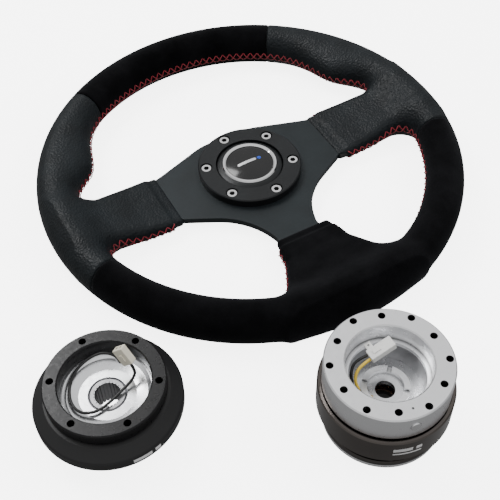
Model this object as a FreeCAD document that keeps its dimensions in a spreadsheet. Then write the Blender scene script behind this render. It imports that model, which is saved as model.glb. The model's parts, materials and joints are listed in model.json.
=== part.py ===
"""Quick release steering wheel kit: wheel, quick release coupling and hub adapter.

The three units stand side by side on one level surface. The frame's origin is the centre of
the wheel's mounting face, +Z is the steering axis towards the driver and +Y is 12 o'clock.
Each unit is modelled about its own axis and placed by the cells wheel_*, coupling_* and hub_*.
All lengths are in millimetres.
"""
import FreeCAD, Part
import Sketcher
import math
import os
import re
from FreeCAD import Placement, Rotation, Vector

SIZES = {
    # where the units stand
    "wheel_x": 0.0, "wheel_y": 0.0, "wheel_z": 0.0,
    "coupling_x": -30.0, "coupling_y": -233.5, "coupling_z": -6.0,
    "hub_x": -185.2, "hub_y": -144.5, "hub_z": -6.0,
    # bolt circle shared by all three units
    "bolt_pcd": 70.0, "wide_pcd": 74.0, "bolt_rad": 2.5, "bolt_hole_rad": 2.7,
    # wheel: rim and frame
    "rim_rad": 155.3, "rim_outward": 14.7, "rim_half_high": 17.5, "rim_mid_z": 11.5,
    "skin_thick": 1.4, "thumb_bulge": 13.6, "thumb_deg": 28.0,
    "band_in_rad": 149.0, "band_out_rad": 161.0, "band_high": 8.0,
    "plate_thick": 5.0, "plate_bore_rad": 26.2, "plate_top_y": 45.0,
    "spoke_half": 13.0, "neck_half": 17.7, "spoke_reach": 157.0,
    "shoulder_x": 70.0, "shoulder_y": 27.5, "crown_x": 24.0, "crown_y": 43.0,
    "shoulder_round": 60.0, "crown_round": 40.0,
    "armpit_x": 75.0, "armpit_y": 19.5, "corner_x": 25.0, "corner_y": 46.0, "corner_round": 60.0,
    "neck_y": 74.0,
    "rivet_rad": 2.5, "rivet_head_rad": 4.5, "rivet_head_high": 2.0, "rivet_pitch": 18.0,
    "sleeve_start": 71.0, "bottom_sleeve_start": 77.0,
    # horn ring and horn button
    "ring_rad": 41.5, "ring_high": 7.0, "ring_bore_rad": 27.2, "ring_recess_rad": 29.4,
    "recess_deep": 1.7, "counterbore_rad": 4.8, "counterbore_deep": 5.5, "ring_chamfer": 0.8,
    "screw_head_rad": 4.1, "screw_head_high": 4.7, "screw_tail": 5.0, "screw_phase": 98.0,
    "screw_neck_rad": 2.24,
    "hex_rad": 2.3, "hex_deep": 2.6,
    "cup_low": -4.0, "cup_floor": 1.5, "cup_rad": 26.0, "cup_wall": 1.5, "cup_top": 6.4,
    "flange_rad": 29.2, "flange_thick": 1.5,
    "button_rad": 26.5, "button_low": 8.4, "button_top": 10.6, "skirt_rad": 24.1, "skirt_wall": 1.5,
    "skirt_low": 3.0, "boss_rad": 20.0, "boss_wall": 1.5, "boss_low": 1.2, "dome_high": 1.5,
    "bezel_rad": 22.2, "bezel_in_rad": 19.1, "bezel_top": 13.2, "cap_rad": 19.0, "cap_edge": 12.0,
    "cap_crown": 14.6,
    "contact_in_rad": 12.0, "contact_thick": 0.9, "terminal_wide": 5.0, "terminal_x": 9.0,
    "horn_coil_rad": 8.0, "horn_wire_rad": 0.5, "horn_pitch": 3.0,
    # quick release: base, collar and lock
    "disc_rad": 39.7, "disc_high": 4.5, "disc_bore_rad": 22.0,
    "foot_rad": 40.0, "foot_top": 8.0, "waist_rad": 30.7, "waist_low": 11.0, "waist_top": 13.0,
    "deck_rad": 42.0, "deck_low": 15.6, "deck_top": 17.8, "collar_rad": 34.5, "collar_bore_rad": 29.6,
    "collar_top": 36.0, "base_head_rad": 4.0, "base_head_high": 4.6, "tool_hole_rad": 4.4,
    "ball_rad": 3.0, "ball_out_rad": 33.0, "ball_level": 30.0, "ball_bore_rad": 3.05,
    "clip_rad": 35.3, "clip_in_rad": 33.3, "clip_low": 34.0, "clip_thick": 1.2, "clip_gap": 9.0,
    "sleeve_rad": 44.0, "sleeve_low": 18.1, "sleeve_top": 39.3, "land_rad": 34.58, "land_top": 22.7,
    "cone_rad": 37.1, "cone_top": 33.5, "lip_rad": 41.5, "sleeve_chamfer": 0.8,
    "seal_orbit": 33.69, "seal_rad": 0.85, "seal_level": 20.4, "seal_groove_rad": 32.8,
    "dowel_rad": 1.75, "dowel_hole_rad": 1.8, "dowel_orbit": 31.5, "dowel_low": 26.0, "dowel_top": 43.0,
    "carrier_rad": 21.8, "carrier_low": 4.5, "carrier_top": 15.0, "carrier_bore_rad": 6.0,
    "slip_out_rad": 18.0, "slip_mid_rad": 15.0, "slip_in_rad": 12.0, "slip_core_rad": 9.0,
    "slip_thick": 0.8,
    # quick release: wheel side
    "body_rad": 41.0, "body_low": 40.4, "body_top": 62.0, "body_bore_rad": 27.5, "body_chamfer": 0.8,
    "body_recess_rad": 35.6, "body_recess_top": 45.2, "thread_deep": 12.0, "body_phase": 4.0,
    "spigot_flange_rad": 35.4, "spigot_rad": 29.3, "spigot_bore_rad": 24.6, "spigot_low": 19.2,
    "spigot_flange_low": 40.7, "groove_rad": 28.0, "groove_half": 3.6,
    "button_bore_rad": 3.55, "press_rad": 3.45, "press_level": 52.3, "press_out": 41.7,
    "press_in": 34.5, "press_bore_in": 30.0, "press_phase": -101.0, "press_dome": 0.5,
    "press_coil_rad": 2.4, "press_wire_rad": 0.35, "press_pitch": 1.1,
    "contact_rad": 24.5, "contact_low": 26.0, "contact_top": 30.0, "contact_bore_rad": 6.5,
    "crown_out_rad": 15.8, "crown_in_rad": 12.0, "crown_top": 34.0, "slot_wide": 3.0, "slot_deep": 2.0,
    "pin_rad": 1.2, "spigot_screw_rad": 1.5, "spigot_screw_orbit": 32.4, "spigot_screw_head": 2.6,
    # hub adapter
    "top_rad": 40.0, "top_bore_rad": 30.2, "top_low": 28.0, "hub_high": 40.0, "top_chamfer": 0.8,
    "tap_rad": 2.5, "tap_deep": 10.0, "hub_phase": 31.0,
    "skirt_top_rad": 38.3, "cover_in_rad": 36.8, "cover_top": 31.0, "cover_neck": 28.6,
    "band_rad": 49.5, "band_top": 21.5, "band_low": 14.0, "cover_low": 11.0, "cover_low_rad": 42.5,
    "cover_wall": 2.4,
    "drum_rad": 41.5, "drum_top": 27.7, "drum_chamfer": 1.2,
    "bowl_rad": 30.0, "bowl_top": 27.5, "bowl_floor": 23.6, "bowl_thick": 4.0,
    "core_rad": 13.0, "core_top": 23.6, "spline_rad": 8.7, "core_low": 2.0, "tooth_deep": 0.8,
    "slip_low": 0.0, "horn_ring_rad": 33.0, "horn_ring_in": 28.0, "horn_ring_thick": 1.2,
    "cam_rad": 24.0, "cam_in_rad": 18.0, "cam_high": 7.0,
    # loose wires
    "wire_rad": 1.0, "plug_long": 13.0, "plug_wide": 8.5, "plug_thick": 5.5, "plug_pitch": 3.4,
    "qr_plug_long": 18.0, "qr_plug_wide": 8.0, "ear_long": 4.5, "plug_gap": 0.35,
}

HUB_WIRE = [(17.0, 17.5, 19.6), (17.0, 17.5, 28.8), (13.0, 22.0, 33.0), (5.5, 26.5, 33.0),
            (-6.5, 26.0, 30.5), (-17.5, 19.5, 28.2), (-24.0, 6.0, 27.4), (-22.0, -6.0, 26.6),
            (-11.0, -10.5, 26.0), (1.0, -6.5, 25.4), (11.5, -2.5, 26.2), (18.5, -0.5, 28.0),
            (22.0, 2.0, 32.8), (20.3, 5.8, 37.6)]
YELLOW_WIRE = [(-17.5, 3.5, 30.0), (-17.5, 3.5, 37.5), (-19.0, 8.5, 44.0), (-13.2, 13.0, 49.5),
               (-4.5, 13.0, 51.0)]
BLACK_WIRE = [(-19.0, 9.0, 30.0), (-19.0, 9.0, 37.5), (-18.0, 14.5, 44.0), (-12.5, 18.0, 49.5),
              (-4.5, 16.4, 51.0)]

doc = FreeCAD.newDocument("quick_release_wheel_kit")
sheet = doc.addObject("Spreadsheet::Sheet", "sizes")
made = {}


def fill_sheet():
    """Write every driving dimension to a cell of its own and give the cell its alias."""
    for row, (alias, value) in enumerate(SIZES.items(), start=1):
        sheet.set(f"A{row}", alias)
        sheet.set(f"B{row}", str(value))
        sheet.setAlias(f"B{row}", alias)
    doc.recompute()


def cell(alias):
    return float(sheet.get(alias))


def linked(text):
    """Turn plain words into cell references: 'body_rad - 1' becomes 'sizes.body_rad - 1'."""
    return re.sub(r"\b(?!sin\b|cos\b)[a-z]\w+", lambda m: "sizes." + m.group(0), str(text))


def bind(obj, prop, text):
    obj.setExpression(prop, linked(text))


def place(obj, unit):
    for axis in "xyz":
        bind(obj, f"Placement.Base.{axis}", f"{unit}_{axis}")


def keep(obj, label):
    """Register a finished object as the node that carries this label."""
    obj.Label = label
    made[label] = obj
    return obj


def origin_feature(body, role):
    return next(f for f in body.Origin.OriginFeatures if f.Role == role)


# ---------------------------------------------------------------- PartDesign helpers

def new_body(name):
    return doc.addObject("PartDesign::Body", name)


def flat_sketch(body, name, role, height="0"):
    sketch = body.newObject("Sketcher::SketchObject", name)
    sketch.AttachmentSupport = [(origin_feature(body, role), "")]
    sketch.MapMode = "FlatFace"
    bind(sketch, "AttachmentOffset.Base.z", height)
    return sketch


def pin_point(sketch, index, where, across, up):
    """Fix one end of a sketch edge to cell expressions for its two coordinates."""
    for kind, text in (("DistanceX", across), ("DistanceY", up)):
        number = sketch.addConstraint(Sketcher.Constraint(kind, -1, 1, index, where, 1.0))
        bind(sketch, f"Constraints[{number}]", text)


def evaluate(text):
    """Value of a cell expression, used only to draw a sketch near its final shape."""
    return sheet.evalExpression(linked(text)) if isinstance(text, str) else float(text)


def outline(sketch, corners):
    """Closed polygon whose corners are pairs of cell expressions."""
    spots = [Vector(evaluate(a), evaluate(b), 0) for a, b in corners]
    count = len(spots)
    for i in range(count):
        sketch.addGeometry(Part.LineSegment(spots[i], spots[(i + 1) % count]), False)
    for i in range(count):
        sketch.addConstraint(Sketcher.Constraint("Coincident", i, 2, (i + 1) % count, 1))
    for i, (across, up) in enumerate(corners):
        pin_point(sketch, i, 1, across, up)


def circle(sketch, across, up, radius):
    index = sketch.addGeometry(Part.Circle(Vector(evaluate(across), evaluate(up), 0),
                                           Vector(0, 0, 1), evaluate(radius)), False)
    pin_point(sketch, index, 3, across, up)
    number = sketch.addConstraint(Sketcher.Constraint("Radius", index, evaluate(radius)))
    bind(sketch, f"Constraints[{number}]", radius)


def turned(name, profile, unit=None):
    """Body turned about its Z axis from a closed profile of (radius, height) expressions."""
    body = new_body(name)
    sketch = flat_sketch(body, name + "_profile", "XZ_Plane")
    outline(sketch, profile)
    doc.recompute()
    turn = body.newObject("PartDesign::Revolution", name + "_turned")
    turn.Profile = sketch
    turn.ReferenceAxis = (origin_feature(body, "Z_Axis"), [""])
    turn.Angle = 360.0
    doc.recompute()
    if unit:
        place(body, unit)
    return body


def washer(name, inner, outer, low, high, unit=None):
    return turned(name, [(inner, low), (outer, low), (outer, high), (inner, high)], unit)


def bolt_circle(body, name, pcd, count, phase, radius, top, depth):
    """Pocket `count` round holes down from the height `top`, evenly spaced on a circle."""
    sketch = flat_sketch(body, name + "_hole", "XY_Plane", top)
    circle(sketch, f"({pcd}) / 2 * cos({phase})", f"({pcd}) / 2 * sin({phase})", radius)
    doc.recompute()
    before = body.Shape.Volume
    pocket = body.newObject("PartDesign::Pocket", name + "_pocket")
    pocket.Profile = sketch
    bind(pocket, "Length", depth)
    doc.recompute()
    ring = body.newObject("PartDesign::PolarPattern", name + "_ring")
    ring.Originals = [pocket]
    ring.Axis = (origin_feature(body, "Z_Axis"), [""])
    ring.Angle = 360.0
    ring.Occurrences = count
    body.Tip = ring
    doc.recompute()
    assert body.Shape.Volume < before - 1.0, name + ": the holes cut nothing"


def bevel(body, name, size, radius, height):
    """Chamfer the round edge that has this radius and height."""
    doc.recompute()
    tip = body.Tip
    wanted = (evaluate(radius), evaluate(height))
    names = []
    for number, edge in enumerate(tip.Shape.Edges, start=1):
        round_edge = isinstance(edge.Curve, Part.Circle)
        if round_edge and abs(edge.Curve.Radius - wanted[0]) < 0.01 \
                and abs(edge.Curve.Center.z - wanted[1]) < 0.01:
            names.append(f"Edge{number}")
    assert names, name + ": no edge to chamfer"
    chamfer = body.newObject("PartDesign::Chamfer", name)
    chamfer.Base = (tip, names)
    bind(chamfer, "Size", size)
    body.Tip = chamfer
    doc.recompute()


def round_corners(body, name, size, across, up):
    """Fillet the two upright edges that stand at (+across, up) and (-across, up)."""
    tip = body.Tip
    names = []
    for number, edge in enumerate(tip.Shape.Edges, start=1):
        box = edge.BoundBox
        upright = box.ZLength > 1.0 and box.XLength < 1e-6 and box.YLength < 1e-6
        if upright and abs(abs(box.XMin) - evaluate(across)) < 0.01 and abs(box.YMin - evaluate(up)) < 0.01:
            names.append(f"Edge{number}")
    assert len(names) == 2, name + ": the two corners are not there"
    fillet = body.newObject("PartDesign::Fillet", name)
    fillet.Base = (tip, names)
    bind(fillet, "Radius", size)
    body.Tip = fillet
    doc.recompute()


# ---------------------------------------------------------------- Part helpers

def rod(name, radius, length, spot):
    """Upright cylinder with bound radius and length, standing at `spot`."""
    part = doc.addObject("Part::Cylinder", name)
    bind(part, "Radius", radius)
    bind(part, "Height", length)
    part.Placement.Base = Vector(*spot)
    return part


def group(name, shapes):
    """Several identical pieces kept in one object as separate solids."""
    part = doc.addObject("Part::Feature", name)
    part.Shape = Part.makeCompound(shapes)
    return part


def solid(name, shape):
    """One piece, wrapped so that its own turn and shift stay in the shape."""
    return group(name, [shape])


def difference(name, base, tools):
    cut = base
    for number, tool in enumerate(tools, start=1):
        step = doc.addObject("Part::Cut", f"{name}_cut{number}")
        step.Base = cut
        step.Tool = tool
        cut = step
    return cut


def around(shape, count, phase=0.0):
    """Copies of a shape turned about the Z axis, the first one at the phase angle."""
    copies = []
    for number in range(count):
        copy = shape.copy()
        copy.rotate(Vector(0, 0, 0), Vector(0, 0, 1), phase + 360.0 * number / count)
        copies.append(copy)
    return copies


def tube(inner, outer, low, high):
    ring = Part.makeCylinder(outer, high - low, Vector(0, 0, low))
    return ring.cut(Part.makeCylinder(inner, high - low, Vector(0, 0, low)))


def coil(coil_rad, wire_rad, pitch, length, start):
    """Round-wire compression spring on the Z axis, between `start` and `start + length`."""
    rise = length - 2 * wire_rad
    helix = Part.makeHelix(pitch, rise, coil_rad)
    ring = Part.Wire(Part.makeCircle(wire_rad, Vector(coil_rad, 0, 0), Vector(0, 1, 0)))
    wire = Part.Wire(helix).makePipeShell([ring], True, True)
    wire.translate(Vector(0, 0, start + wire_rad))
    return wire


def socket_screw(head_rad, head_high, shank_rad, shank_long, hex_rad, hex_deep):
    """Socket head cap screw: the head stands on z = 0 and the shank points down."""
    head = Part.makeCylinder(head_rad, head_high)
    head = head.makeChamfer(0.3, [e for e in head.Edges if abs(e.BoundBox.ZMin - head_high) < 1e-6])
    shank = Part.makeCylinder(shank_rad, shank_long, Vector(0, 0, -shank_long))
    corners = [Vector(hex_rad * math.cos(math.radians(60 * k)), hex_rad * math.sin(math.radians(60 * k)),
                      head_high - hex_deep) for k in range(7)]
    key = Part.Face(Part.makePolygon(corners)).extrude(Vector(0, 0, hex_deep))
    return head.fuse(shank).cut(key)


def cord_tube(name, route, radius):
    """Round cord along straight runs joined by tangent arcs, as large as the runs allow."""
    spots = [Vector(*p) for p in route]
    edges = []
    start = spots[0]
    for before, corner, after in zip(spots, spots[1:], spots[2:]):
        into = (corner - before).normalize()
        out = (after - corner).normalize()
        half = into.getAngle(out) / 2
        reach = 0.45 * min((corner - before).Length, (after - corner).Length)
        bend = reach / math.tan(half)
        print(f"{name}: bend radius {bend:.1f} mm")
        first = corner - into * reach
        last = corner + out * reach
        inward = (out - into).normalize()
        centre = corner + inward * (bend / math.cos(half))
        middle = centre - inward * bend
        edges.append(Part.LineSegment(start, first).toShape())
        edges.append(Part.Arc(first, middle, last).toShape())
        start = last
    edges.append(Part.LineSegment(start, spots[-1]).toShape())
    path = Part.Wire(edges)
    section = Part.Wire(Part.makeCircle(radius, spots[0], spots[1] - spots[0]))
    cord = path.makePipeShell([section], True, True)
    ideal = math.pi * radius ** 2 * path.Length
    print(f"{name}: length {path.Length:.1f} mm, volume ratio {cord.Volume / ideal:.4f}")
    return cord


def connector(spot, direction, long, wide, thick, eared=False):
    """Two-way connector housing lying along `direction`, with its back face at `spot`."""
    block = Part.makeBox(long, wide, thick, Vector(0, -wide / 2, -thick / 2))
    block = block.makeFillet(0.6, block.Edges)
    half_pitch = cell("plug_pitch") / 2
    for side in (-1, 1):
        hole = Part.makeBox(3.0, 2.0, 2.0, Vector(long - 2.4, side * half_pitch - 1.0, -1.0))
        block = block.cut(hole)
    latch = Part.makeBox(5.0, 2.4, 1.0, Vector(3.5, -1.2, thick / 2 - 0.2))
    block = block.fuse(latch)
    if eared:
        reach = cell("ear_long")
        ear = Part.makeBox(reach, reach, 2.0, Vector(1.5, wide / 2 - 0.2, thick / 2 - 2.4))
        eye = Part.makeCylinder(0.8, 4.0, Vector(1.5 + reach / 2, wide / 2 + reach / 2, 0))
        block = block.fuse(ear).cut(eye)
    block.Placement = Placement(Vector(*spot), Rotation(Vector(1, 0, 0), Vector(*direction)))
    return block


# ---------------------------------------------------------------- wheel

def rim_section(degrees, inset):
    """Closed smooth section of the rim at one angle; the inner side carries the thumb rests."""
    bulge = 0.0
    for rest in (cell("thumb_deg"), 180.0 - cell("thumb_deg")):
        away = (degrees - rest + 180.0) % 360.0 - 180.0
        towards_spoke = away < 0 if rest < 90.0 else away > 0
        width = 9.0 if towards_spoke else 14.0
        bulge += cell("thumb_bulge") * math.exp(-(away / width) ** 2)
    outward = cell("rim_outward") - inset
    inward = cell("rim_outward") + bulge - inset
    half_high = cell("rim_half_high") - inset
    turn = Rotation(Vector(0, 0, 1), degrees)
    spots = []
    for step in range(8):
        angle = math.pi / 4 * step
        reach = outward if math.cos(angle) > 0 else inward
        spot = Vector(cell("rim_rad") + reach * math.cos(angle), 0,
                      cell("rim_mid_z") + half_high * math.sin(angle))
        spots.append(turn.multVec(spot))
    curve = Part.BSplineCurve()
    curve.interpolate(Points=spots, PeriodicFlag=True)
    return Part.Wire(curve.toShape())


def rim_stretch(first, last, inset):
    count = max(3, int(round((last - first) / 6.0)))
    angles = [first + (last - first) * k / count for k in range(count + 1)]
    return Part.makeLoft([rim_section(a, inset) for a in angles], True, False)


def sleeve_section(reach, low, high, bottom, top, inset):
    """Soft rectangle across a spoke that points along +X, at the distance `reach`."""
    across, up = (high - low) / 2 - inset, (top - bottom) / 2 - inset
    spots = []
    for step in range(12):
        angle = math.pi / 6 * step
        squared = [math.copysign(abs(f(angle)) ** 0.45, f(angle)) for f in (math.cos, math.sin)]
        spots.append(Vector(reach, (low + high) / 2 + across * squared[0],
                            (bottom + top) / 2 + up * squared[1]))
    curve = Part.BSplineCurve()
    curve.interpolate(Points=spots, PeriodicFlag=True)
    return Part.Wire(curve.toShape())


def sleeve(spoke_degrees, stations, inset):
    """Padded sleeve along one spoke. Stations are (reach, low, high, bottom, top)."""
    wires = []
    for number, (reach, low, high, bottom, top) in enumerate(stations):
        start = reach + (inset if number == 0 else 0.0)
        wires.append(sleeve_section(start, low, high, bottom, top, inset))
    shape = Part.makeLoft(wires, True, False)
    shape.rotate(Vector(0, 0, 0), Vector(0, 0, 1), spoke_degrees)
    return shape


def side_stations(mirror):
    begin = cell("sleeve_start")
    spans = [(begin, -25, 31, -2.6, 7.2), (100, -24, 28.5, -3.2, 11.3),
             (124, -22.5, 25.5, -4.2, 17.0), (150, -26, 26, -4.8, 26.0)]
    return [(r, -b, -a, lo, hi) if mirror else (r, a, b, lo, hi) for r, a, b, lo, hi in spans]


def bottom_stations():
    begin = cell("bottom_sleeve_start")
    return [(begin, -21, 27, -2.6, 7.2), (101, -25, 31, -3.2, 11.3),
            (120, -35, 40, -4.2, 17.5), (148, -50, 52, -4.8, 26.0)]


def make_plate():
    """Flat three-spoke plate with a bolt circle, a horn bore and six rivet holes."""
    body = new_body("plate_body")
    sketch = flat_sketch(body, "plate_outline", "XY_Plane")
    right = [("crown_x", "crown_y"), ("shoulder_x", "shoulder_y"), ("spoke_reach", "spoke_half"),
             ("spoke_reach", "-spoke_half"), ("armpit_x", "-armpit_y"), ("corner_x", "-corner_y"),
             ("neck_half", "-neck_y"), ("neck_half", "-spoke_reach")]
    left = [("-" + across, up) for across, up in reversed(right)]
    outline(sketch, [("0", "plate_top_y")] + right + left)
    doc.recompute()
    pad = body.newObject("PartDesign::Pad", "plate_pad")
    pad.Profile = sketch
    bind(pad, "Length", "plate_thick")
    doc.recompute()
    round_corners(body, "plate_crown", "crown_round", "crown_x", "crown_y")
    round_corners(body, "plate_shoulder", "shoulder_round", "shoulder_x", "shoulder_y")
    round_corners(body, "plate_armpit", "corner_round", "corner_x", "-corner_y")
    bolt_circle(body, "plate_bolts", "bolt_pcd", 6, "screw_phase", "bolt_hole_rad", "plate_thick",
                "plate_thick")
    bolt_circle(body, "plate_bore", "0 * bolt_pcd", 1, "0", "plate_bore_rad", "plate_thick",
                "plate_thick")
    holes = group("rivet_holes", rivet_cylinders(cell("rivet_rad"), -1.0, 30.0))
    return difference("plate", body, [holes])


def rivet_spots():
    half = cell("rivet_pitch") / 2
    reach = math.sqrt(cell("rim_rad") ** 2 - half ** 2)
    spots = []
    for spoke in (0.0, 180.0, 270.0):
        turn = Rotation(Vector(0, 0, 1), spoke)
        spots += [turn.multVec(Vector(reach, side * half, 0)) for side in (-1, 1)]
    return spots


def rivet_cylinders(radius, low, high):
    return [Part.makeCylinder(radius, high - low, spot + Vector(0, 0, low)) for spot in rivet_spots()]


def make_frame_and_rivets():
    thick, high = cell("plate_thick"), cell("band_high")
    band = washer("rim_band", "band_in_rad", "band_out_rad", "plate_thick", "plate_thick + band_high")
    holes = group("band_rivet_holes", rivet_cylinders(cell("rivet_rad"), 0.0, 30.0))
    frame = keep(difference("rim_frame", band, [holes]), "rim_frame")
    head = cell("rivet_head_high")
    shapes = []
    for spot in rivet_spots():
        shank = Part.makeCylinder(cell("rivet_rad"), thick + high, spot)
        under = Part.makeCylinder(cell("rivet_head_rad"), head, spot - Vector(0, 0, head))
        over = Part.makeCylinder(cell("rivet_head_rad"), head, spot + Vector(0, 0, thick + high))
        shapes.append(shank.fuse([under, over]))
    return frame, keep(group("rim_rivets_group", shapes), "rim_rivets")


def make_grips(plate, frame, rivets):
    """Foam moulded round the frame, and four stitched covers over it."""
    doc.recompute()
    inner_metal = [plate.Shape, frame.Shape] + list(rivets.Shape.Solids)
    stretches = {
        "top": (55.0, 125.0, None),
        "left": (125.0, 199.0, (180.0, side_stations(True))),
        "bottom": (199.0, 343.0, (270.0, bottom_stations())),
        "right": (-17.0, 55.0, (0.0, side_stations(False))),
    }
    thick = cell("skin_thick")
    cores = []
    for name, (first, last, spoke) in stretches.items():
        outer = rim_stretch(first, last, 0.0)
        core = rim_stretch(first, last, thick)
        if spoke:
            outer = outer.fuse(sleeve(spoke[0], spoke[1], 0.0))
            core = core.fuse(sleeve(spoke[0], spoke[1], thick))
        cover = outer.cut(core).cut(plate.Shape)
        cover = max(cover.Solids, key=lambda s: s.Volume)
        keep(solid(f"cover_{name}", cover), f"grip_{name}")
        core = core.cut(inner_metal)
        cores.append(max(core.Solids, key=lambda s: s.Volume))
    keep(group("foam", cores), "foam_core")


def make_horn():
    top = "plate_thick + ring_high"
    ring = turned("horn_ring_body", [
        ("ring_bore_rad", "plate_thick + recess_deep"), ("ring_recess_rad", "plate_thick + recess_deep"),
        ("ring_recess_rad", "plate_thick"), ("ring_rad", "plate_thick"), ("ring_rad", top),
        ("ring_bore_rad", top)])
    bolt_circle(ring, "ring_through", "bolt_pcd", 6, "screw_phase", "bolt_hole_rad", top, "ring_high")
    bolt_circle(ring, "ring_counter", "bolt_pcd", 6, "screw_phase", "counterbore_rad", top,
                "counterbore_deep")
    bevel(ring, "ring_bevel", "ring_chamfer", "ring_rad", top)
    keep(ring, "horn_ring")

    seat = cell("plate_thick") + cell("ring_high") - cell("counterbore_deep")
    screw = socket_screw(cell("screw_head_rad"), cell("screw_head_high"), cell("bolt_rad"),
                         seat + cell("screw_tail"), cell("hex_rad"), cell("hex_deep"))
    # the shank is reduced to a neck above the thread, which starts at the back of the plate
    around_neck = Part.makeCylinder(cell("bolt_rad"), seat, Vector(0, 0, -seat))
    neck = Part.makeCylinder(cell("screw_neck_rad"), seat, Vector(0, 0, -seat))
    screw = screw.cut(around_neck.cut(neck))
    screw.translate(Vector(cell("bolt_pcd") / 2, 0, seat))
    keep(group("wheel_screw_group", around(screw, 6, cell("screw_phase"))), "wheel_screws")

    flange = "plate_thick + flange_thick"
    cup = turned("horn_cup", [
        ("0", "cup_low"), ("cup_rad", "cup_low"), ("cup_rad", "plate_thick"), ("flange_rad", "plate_thick"),
        ("flange_rad", flange), ("cup_rad", flange), ("cup_rad", "cup_top"),
        ("cup_rad - cup_wall", "cup_top"), ("cup_rad - cup_wall", "cup_low + cup_floor"),
        ("0", "cup_low + cup_floor")])
    wide, x = cell("terminal_wide"), cell("terminal_x")
    blades = [Part.makeBox(0.8, wide, 3.2, Vector(side * x - 0.4, -wide / 2, -5.5)) for side in (-1, 1)]
    slots = group("terminal_slots", [b.copy() for b in blades])
    keep(difference("horn_housing", cup, [slots]), "horn_housing")
    keep(group("terminal_group", blades), "horn_terminals")

    floor = "cup_low + cup_floor"
    keep(washer("lower_contact", "contact_in_rad", "boss_rad", floor, floor + " + contact_thick"),
         "horn_contact_fixed")
    keep(washer("upper_contact", "contact_in_rad", "boss_rad", "boss_low - contact_thick", "boss_low"),
         "horn_contact_moving")
    keep(turned("button", [
        ("0", "button_low + 1"), ("boss_rad - boss_wall", "button_low + 1"),
        ("boss_rad - boss_wall", "boss_low"), ("boss_rad", "boss_low"), ("boss_rad", "button_low"),
        ("skirt_rad - skirt_wall", "button_low"), ("skirt_rad - skirt_wall", "skirt_low"),
        ("skirt_rad", "skirt_low"), ("skirt_rad", "button_low"), ("button_rad", "button_low"),
        ("button_rad", "button_top - 0.4"), ("button_rad - 0.6", "button_top + 0.2"),
        ("bezel_rad + 1.8", "button_top + dome_high * 0.75"), ("bezel_rad", "button_top + dome_high"),
        ("bezel_rad", "button_top"), ("0", "button_top")]), "horn_button")
    keep(turned("bezel", [
        ("bezel_in_rad", "button_top"), ("bezel_rad", "button_top"), ("bezel_rad", "bezel_top - 0.9"),
        ("bezel_rad - 0.7", "bezel_top"), ("bezel_in_rad + 0.9", "bezel_top"),
        ("bezel_in_rad", "bezel_top - 0.6")]), "horn_bezel")
    dome = [("cap_rad * 0.94", 0.22), ("cap_rad * 0.82", 0.45), ("cap_rad * 0.62", 0.70),
            ("cap_rad * 0.36", 0.90), ("0", 1.0)]
    keep(turned("cap", [("0", "button_top"), ("cap_rad", "button_top"), ("cap_rad", "cap_edge")] + [
        (r, f"cap_edge + (cap_crown - cap_edge) * {share}") for r, share in dome]), "horn_cap")
    low = cell("cup_low") + cell("cup_floor")
    keep(solid("horn_coil", coil(cell("horn_coil_rad"), cell("horn_wire_rad"), cell("horn_pitch"),
                                 cell("button_low") + 1 - low, low)), "horn_spring")


# ---------------------------------------------------------------- quick release coupling

def in_unit(obj, unit):
    """Put a Part object, whose shape is about the unit's own axis, in the unit's place."""
    place(obj, unit)
    return obj


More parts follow.
